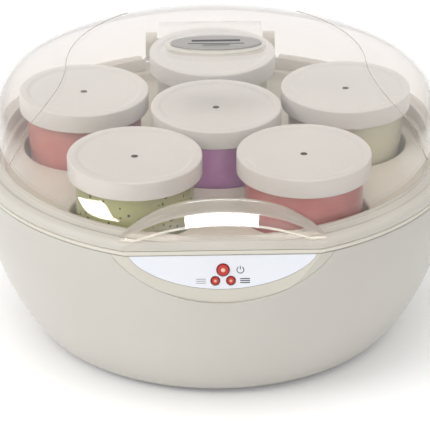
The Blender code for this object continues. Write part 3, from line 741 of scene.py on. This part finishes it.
def seedMesh(wall):
    tree, start = openTree("scatterSeeds", {"Density": ("NodeSocketFloat", seeds["density"]),
                                            "Size": ("NodeSocketFloat", seeds["size"]),
                                            "Seed": ("NodeSocketInt", seeds["seed"])})
    spread = addNode(tree, "GeometryNodeDistributePointsOnFaces", links={
        "Mesh": start["Geometry"], "Density": start["Density"], "Seed": start["Seed"]})
    grain = addNode(tree, "GeometryNodeMeshIcoSphere", {"Subdivisions": 2},
                    {"Radius": start["Size"]})
    stretch = addNode(tree, "FunctionNodeRandomValue",
                      {"data_type": "FLOAT_VECTOR", 0: seeds["least"], 1: seeds["most"]},
                      {"Seed": start["Seed"]})
    put = addNode(tree, "GeometryNodeInstanceOnPoints", links={
        "Points": spread.outputs["Points"], "Instance": grain.outputs["Mesh"],
        "Rotation": spread.outputs["Rotation"], "Scale": stretch.outputs[0]})
    return grown("seedWall", wall, tree, put.outputs[0], seedBrown)


def makeSeeds():
    k = seeds["jar"]
    x, y = jarSpots()[k - 1]
    low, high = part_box(f"yogurt_{k}")
    radius = jar["radius"] - jar["wall"] + 0.0003
    bm = bmesh.new()
    rings = [[bm.verts.new((radius * math.cos(a), radius * math.sin(a), z))
              for a in (2 * math.pi * n / 64 for n in range(64))]
             for z in (low.z + seeds["fromBase"], high.z - seeds["fromTop"])]
    joinRings(bm, *rings)
    wall = moved(toMesh(bm), Matrix.Translation((x, y + centreY, 0)))
    addPiece("kiwiSeeds", seedMesh(wall), seedBrown, f"jar_body_{k}")


# the lid is a clear dome, a milky flange, a finger hood and the badge's seat
dome = {"sides": 192, "wall": 0.0022, "apex": 0.060,
        "crown": ((0.0, 0.060), (0.040, 0.060), (0.072, 0.0535), (0.098, 0.0437)),
        "shoulder": ((0.098, 0.0437), (0.108, 0.0395), (0.1145, 0.0370), (0.1150, 0.0240)),
        "notch": math.radians(18.5)}
hood = {"spread": math.radians(24.6), "out": 0.0066, "thick": 0.0016, "end": 0.985, "across": 84,
        "root": 0.1139, "footOut": 0.0088, "browSteps": 9}


def domeLine():
    line = bezier(dome["crown"], 22) + bezier(dome["shoulder"], 16)[1:]
    line += [Vector((0.11515, 0.0180)), Vector((0.1153, 0.0120)), Vector((0.11538, 0.0090))]
    return line


def makeLid():
    line = domeLine() + [Vector((0.1154, 0.0056))]
    outline = [Vector((p.x, rimZ + p.y)) for p in line] + [Vector((0, rimZ + 0.0056))]
    outer = turned([tuple(p) for p in outline], dome["sides"])
    inner = offsetLine(line, dome["wall"])
    inner = [Vector((0, inner[0].y))] + inner[1:-1]
    cavity = [(p.x, rimZ + p.y) for p in inner] + [(0.1132, rimZ - 0.01), (0, rimZ - 0.01)]
    steps = [("UNION", lugMesh()),
             ("DIFFERENCE", turned(cavity, dome["sides"])), ("DIFFERENCE", notchMesh())]
    mesh = smoothed(moved(carve(outer, steps + boreSteps()), toCentre), 30)
    addPiece("clearDome", mesh, clearPc, "lid", ["lid_dome"])

    flange = softOutline([(0.1130, 0.0066), (0.1146, 0.0066), (0.1156, 0.0050), (0.1190, 0.0044),
                          (0.1210, 0.0052), (rimRadius - 0.0014, 0.0045), (rimRadius, 0.0030),
                          (rimRadius, 0.0), (0.1130, 0.0)],
                         {1: 0.0007, 2: 0.0008, 3: 0.0010, 4: 0.0010, 5: 0.0008, 6: 0.0010,
                          7: 0.0006})
    ring = turned([(p.x, rimZ + p.y) for p in flange], dome["sides"], closed=True)
    front = frontCut(rimZ - 0.01, rimZ + 0.02)
    mesh = carve(ring, [("DIFFERENCE", front), ("DIFFERENCE", notchMesh())])
    addPiece("lidFlange", smoothed(moved(mesh, toCentre), 28), milkyPc, "lid")
    # raised oval seat for the badge, its top edge rounded
    seat = ovalStack(badge["seat"], badge["seatRims"], rimZ + dome["apex"], 0)
    seat = smoothed(moved(seat, toCentre))
    addPiece("badgeSeat", seat, milkyPc, "lid")
    makeHood()


def notchMesh():
    return arcBlock(0.100, 0.140, rimZ - 0.01, rimZ + 0.0070, dome["notch"])


def boreSteps():
    outline = circle(hinge["pin"], 24, (hingeY, hingeZ))
    return [("DIFFERENCE", prism(outline, low, low + hinge["boreDeep"], "X"))
            for low in hinge["boresFrom"]]


def lugMesh():
    outline = [(0.100, hingeZ - hinge["radius"]), *hingeArc(-90, 130), (0.1185, rimZ + 0.0220),
               (0.1145, rimZ + 0.0262), (0.100, rimZ + 0.0262)]
    return prism(outline, -hinge["lug"], hinge["lug"], "X")


def ovalLine(a, b, count):
    return [(a * math.cos(2 * math.pi * k / count), b * math.sin(2 * math.pi * k / count))
            for k in range(count)]


def makeHood():
    # finger grip: a thick rolled brow, a sloping clear face under it and a thin lip
    bm = bmesh.new()
    rings = []
    for k in range(hood["across"] + 1):
        across = hood["end"] * (-1 + 2 * k / hood["across"])
        angle = -math.pi / 2 + across * hood["spread"]
        rings.append([bm.verts.new((r * math.cos(angle), r * math.sin(angle) + centreY, rimZ + z))
                      for r, z in hoodSection(across)])
    bm.faces.new(rings[0])
    bm.faces.new(rings[-1])
    for first, second in zip(rings, rings[1:]):
        for k in range(len(first)):
            after = (k + 1) % len(first)
            face = bm.faces.new((first[k], first[after], second[after], second[k]))
            # the brow takes the grey painted shade; the lip's rounded tip takes the milky colour as
            # a painted highlight line
            lipPaintedHighlight = hood["browSteps"] + 3 <= k <= hood["browSteps"] + 5
            face.material_index = 1 if k < hood["browSteps"] else 2 if lipPaintedHighlight else 0
    mesh = smoothed(toMesh(bm), 40)
    piece = addPiece("gripHood", mesh, clearPc, "lid")
    piece.data.materials.append(browShadePc)
    piece.data.materials.append(milkyPc)


def hoodSection(across):
    # (radius, height) round the section: brow, face, lip, then back up inside
    top = 0.0050 + 0.0228 * (1 - abs(across) ** 2.2) ** 0.8
    lip = 0.0048 + 0.0108 * max(0.0, 1 - (across / 0.84) ** 2)
    drop = top - lip
    out = hood["out"] * math.sqrt(1 - across * across) + 0.0006
    thick = min(hood["thick"], 0.25 * drop)
    back = hood["root"] - 0.0006
    root = hood["root"] + hood["footOut"] * abs(across) ** 2.6
    brow = (root + 0.32 * out, top - 0.43 * drop)
    crest = bezier(((root, top), (root + 0.25 * out, top - 0.02 * drop),
                    (root + 0.30 * out, top - 0.20 * drop), brow), hood["browSteps"] - 1)
    edge = (root + out + 0.0006, lip + 0.4 * thick)
    face = [(brow[0] + (edge[0] - brow[0]) * t, brow[1] + (edge[1] - brow[1]) * t)
            for t in (0.25, 0.5, 0.75, 1.0)]
    tip = [(edge[0] - thick * 0.25, lip), (edge[0] - thick * 0.75, lip),
           (edge[0] - thick, lip + 0.5 * thick)]
    inside = [(brow[0] - 0.7 * thick, brow[1] - 0.1 * drop), (back, brow[1]),
              (back, top - 0.05 * drop)]
    return [tuple(p) for p in crest] + face + tip + inside


# the fold line over the dome: a horseshoe in plan, pressed as a fine bead
crease = {"half": 0.0775, "rear": 0.078, "front": -0.056, "flare": 0.022, "pinch": 5.2,
          "thick": 0.00022, "sides": 8, "steps": 90, "wallSteps": 14, "wallDrop": 0.0165,
          "wallTurn": 0.12}


def beadMesh(line):
    tree, start = openTree("beadAlongPath", {"Thickness": ("NodeSocketFloat", crease["thick"]),
                                             "Sides": ("NodeSocketInt", crease["sides"])})
    path = addNode(tree, "GeometryNodeMeshToCurve", links={"Mesh": start["Geometry"]})
    shape = addNode(tree, "GeometryNodeCurvePrimitiveCircle", links={
        "Radius": start["Thickness"], "Resolution": start["Sides"]})
    tube = addNode(tree, "GeometryNodeCurveToMesh", {"Fill Caps": True}, {
        "Curve": path.outputs[0], "Profile Curve": shape.outputs["Curve"]})
    return grown("creasePath", line, tree, tube.outputs[0], creaseShadePc)


def makeCrease():
    bm = bmesh.new()
    for side in (-1, 1):
        last = None
        for k in range(crease["steps"] + 1):
            y = crease["rear"] + (crease["front"] - crease["rear"]) * k / crease["steps"]
            if y > 0:
                x = crease["half"] - crease["pinch"] * y * y
            else:
                x = crease["half"] + crease["flare"] * (y / crease["front"]) ** 2.2
            height = domeHeight(math.hypot(x, y))
            point = bm.verts.new((side * x, y + centreY, rimZ + height + crease["thick"] * 0.4))
            if last:
                bm.edges.new((last, point))
            last = point
        # then down the wall, leaning back
        start = math.atan2(y, x)
        for k in range(1, crease["wallSteps"] + 1):
            part = k / crease["wallSteps"]
            level = height - crease["wallDrop"] * part
            radius = radiusAt(domeLine(), level) + crease["thick"] * 0.4
            angle = start + crease["wallTurn"] * part
            point = bm.verts.new((side * radius * math.cos(angle),
                                  radius * math.sin(angle) + centreY, rimZ + level))
            bm.edges.new((last, point))
            last = point
    mesh = bpy.data.meshes.new("path")
    bm.to_mesh(mesh)
    bm.free()
    addPiece("domeCrease", beadMesh(mesh), creaseShadePc, "lid")


def domeHeight(radius):
    line = domeLine()
    for before, after in zip(line, line[1:]):
        if before.x <= radius <= after.x:
            part = (radius - before.x) / max(after.x - before.x, 1e-9)
            return before.y + part * (after.y - before.y)
    return line[-1].y


badge = {"length": 0.0235, "width": 0.009, "lift": 0.0011,
         "rims": ((0, 0), (0, 0.0006), (0.0002, 0.00085), (0.0006, 0.00095), (0.0009, 0.00080)),
         "seat": (0.026, 0.013),
         "seatRims": ((0, 0.00005), (0, 0.0002), (0.0002, 0.0006), (0.0007, 0.0008)),
         # printed bars as (y, half length, height)
         "bars": ((0.0022, 0.0125, 0.0022), (-0.0016, 0.0145, 0.0006), (-0.0036, 0.0070, 0.0006))}


def ovalStack(size, rims, base, middleY):
    # a flat oval whose edge follows the rims, each (inset, height)
    bm = bmesh.new()
    rings = []
    for inset, height in rims:
        rings.append([bm.verts.new((a, b + middleY, base + height))
                      for a, b in ovalLine(size[0] - inset, size[1] - inset, 96)])
    for first, second in zip(rings, rings[1:]):
        joinRings(bm, first, second)
    bm.faces.new(rings[0])
    bm.faces.new(rings[-1])
    return toMesh(bm)


def makeBadge():
    base = rimZ + dome["apex"] + badge["lift"] - 0.0003
    plate = ovalStack((badge["length"], badge["width"]), badge["rims"], base, centreY)
    addPiece("lidBadge", smoothed(plate), brushedFoil, "lid", ["lid_badge"])
    lines = []
    for y, half, height in badge["bars"]:
        lines.append(prism(bar(0, y + centreY, 2 * half, height), base + 0.0007, base + 0.00088))
    mesh = smoothed(merged(lines))
    addPiece("badgeLines", mesh, inkGrey, "lid")


# pieces kept from the frame, each with its finish
keptLooks = {"base_plate": baseAbs, "cord_inlet": footRubber, "heater_plate": rolledAluminium,
             "heater_element": zincSteel, "insulation_pad": needledFelt, "thermostat": nylonBlack,
             "thermal_fuse": zincSteel, "power_supply": fibreBoard, "control_board": fibreBoard,
             "power_switch": nylonBlack, "thin_switch": nylonBlack, "thick_switch": nylonBlack,
             "hinge_pin_left": zincSteel, "hinge_pin_right": zincSteel}
for k in range(1, 5):
    keptLooks[f"foot_{k}"] = footRubber
    keptLooks[f"base_screw_{k}"] = zincSteel


def paintKept():
    for name, material in keptLooks.items():
        mesh = nodes[name].data
        mesh.materials.clear()
        mesh.materials.append(material)


# the camera is far off with a long lens
view = {"azimuth": -1.6, "elevation": 26.1, "roll": -0.11, "distance": 1.611, "lens": 254.5953,
        "sensor": 36.0, "shift": (-0.00288372, 0.0000232558), "drop": -0.0376}


def makeCamera():
    data = bpy.data.cameras.new("camera")
    camera = placed("camera", data)
    az, el = math.radians(view["azimuth"]), math.radians(view["elevation"])
    back = Vector((math.sin(az) * math.cos(el), -math.cos(az) * math.cos(el), math.sin(el)))
    target = Vector((0, centreY, rimZ + view["drop"]))
    turn = (-back).to_track_quat("-Z", "Y").to_matrix().to_4x4()
    turn = turn @ Matrix.Rotation(math.radians(view["roll"]), 4, "Z")
    camera.matrix_world = Matrix.Translation(target + back * view["distance"]) @ turn
    data.sensor_width = view["sensor"]
    data.lens = view["lens"]
    data.shift_x, data.shift_y = view["shift"]
    data.clip_start, data.clip_end = 0.05, 20
    bpy.context.scene.camera = camera


lamps = {
    "left": {"at": (-1.3, -0.8, 1.0), "size": (0.8, 0.6), "power": 8.2},
    "front": {"at": (0.0, -1.4, 1.0), "size": (0.8, 0.5), "power": 2.2},
    "top": {"at": (-0.1, -0.3, 1.6), "size": (0.9, 0.7), "power": 6.6},
    "back": {"at": (-0.2, 1.3, 1.1), "size": (1.2, 0.6), "power": 1.5},
    # soft fill that only brightens the jars' contents
    "fill": {"at": (0.1, -1.3, 0.45), "size": (0.6, 0.3), "power": 4.5,
             "on": tuple(name for name, finish in yogurtFinish.values()), "glossy": False},
    # the same for the sunk deck, which the lid shades
    "deckFill": {"at": (0.2, -1.2, 0.9), "size": (0.8, 0.4), "power": 3.6, "on": ("trayDeck",),
                 "glossy": False},
    # shows only as a reflection on the grip's face and the caps' shoulders
    "gripBox": {"at": (0.02, -0.84, 1.1), "size": (1.15, 0.155), "power": 15.0,
                "on": ("gripHood",) + tuple(f"jarCap{k}" for k in range(1, 7)),
                "glossy": True},
}
# the room's own light, and how bright its white walls look in gloss
room = {"light": 0.57, "mirrored": 1.0, "floor": 0.15, "floorHalf": 6}
# a bright sheared card low at the left, seen only as a window-like gleam on the lid's wall
card = {"corners": ((-0.311, -0.151), (-0.288, -0.221), (-0.228, -0.244), (-0.271, -0.183)),
        "strength": 16.0, "on": ("clearDome",)}


def makeCard():
    piece = placed("gleamCard", prism(card["corners"], tableZ + 0.003, tableZ + 0.004))
    paper = newMaterial("litPaper", {"Emission Color": toLinear("#FFFFFF"),
                                     "Emission Strength": card["strength"]})[0]
    piece.data.materials.append(paper)
    piece.visible_camera = piece.visible_diffuse = piece.visible_shadow = False
    piece.visible_transmission = False
    linkLight("gleamCard", piece, card["on"])


def linkLight(name, lamp, targets):
    only = bpy.data.collections.new(name + "Only")
    for target in targets:
        only.objects.link(bpy.data.objects[target])
    lamp.light_linking.receiver_collection = only


def makeStage():
    half = room["floorHalf"]
    floor = placed("floor", prism([(-half, -half), (half, -half), (half, half), (-half, half)],
                                  tableZ - 0.02, tableZ - 0.0001))
    white = toLinear("#FFFFFF")
    material, tree, shader = newMaterial("paperFloor", {
        "Base Color": white, "Roughness": 0.7, "Emission Color": white})
    path = addNode(tree, "ShaderNodeLightPath")
    glow = addNode(tree, "ShaderNodeMapRange", {"To Min": room["floor"], "To Max": 0.0},
                   {"Value": path.outputs["Is Diffuse Ray"]})
    connect(tree, shader, {"Emission Strength": glow.outputs[0]})
    floor.data.materials.append(material)
    world = bpy.data.worlds.new("studio")
    world.use_nodes = True
    sky = world.node_tree
    sky.nodes["Background"].inputs[0].default_value = (1, 1, 1, 1)
    path = addNode(sky, "ShaderNodeLightPath")
    level = addNode(sky, "ShaderNodeMapRange",
                    {"To Min": room["light"], "To Max": room["mirrored"]},
                    {"Value": path.outputs["Is Glossy Ray"]})
    connect(sky, sky.nodes["Background"], {"Strength": level.outputs[0]})
    bpy.context.scene.world = world
    for name, lamp in lamps.items():
        aim = Vector((0, 0, rimZ))
        data = bpy.data.lights.new(name, "AREA")
        data.shape = "RECTANGLE"
        data.size, data.size_y = lamp["size"]
        data.energy = lamp["power"]
        light = placed(name, data)
        light.location = lamp["at"]
        light.rotation_euler = (aim - Vector(lamp["at"])).to_track_quat("-Z", "Y").to_euler()
        light.visible_camera = False
        light.visible_glossy = light.visible_transmission = lamp.get("glossy", False)
        light.visible_diffuse = not lamp.get("glossy", False)
        if "on" in lamp:
            linkLight(name, light, lamp["on"])
    makeCard()
    bpy.context.scene.view_settings.view_transform = "Standard"


makeCamera()
makeShell()
makeBezel()
makeLabel()
makeMarks()
makeButtons()
print("body and panel ready")
makeDeck()
makeJars()
makeSeeds()
print("deck and jars ready")
makeLid()
makeCrease()
makeBadge()
paintKept()
print("lid ready")
makeStage()
print("stage ready")
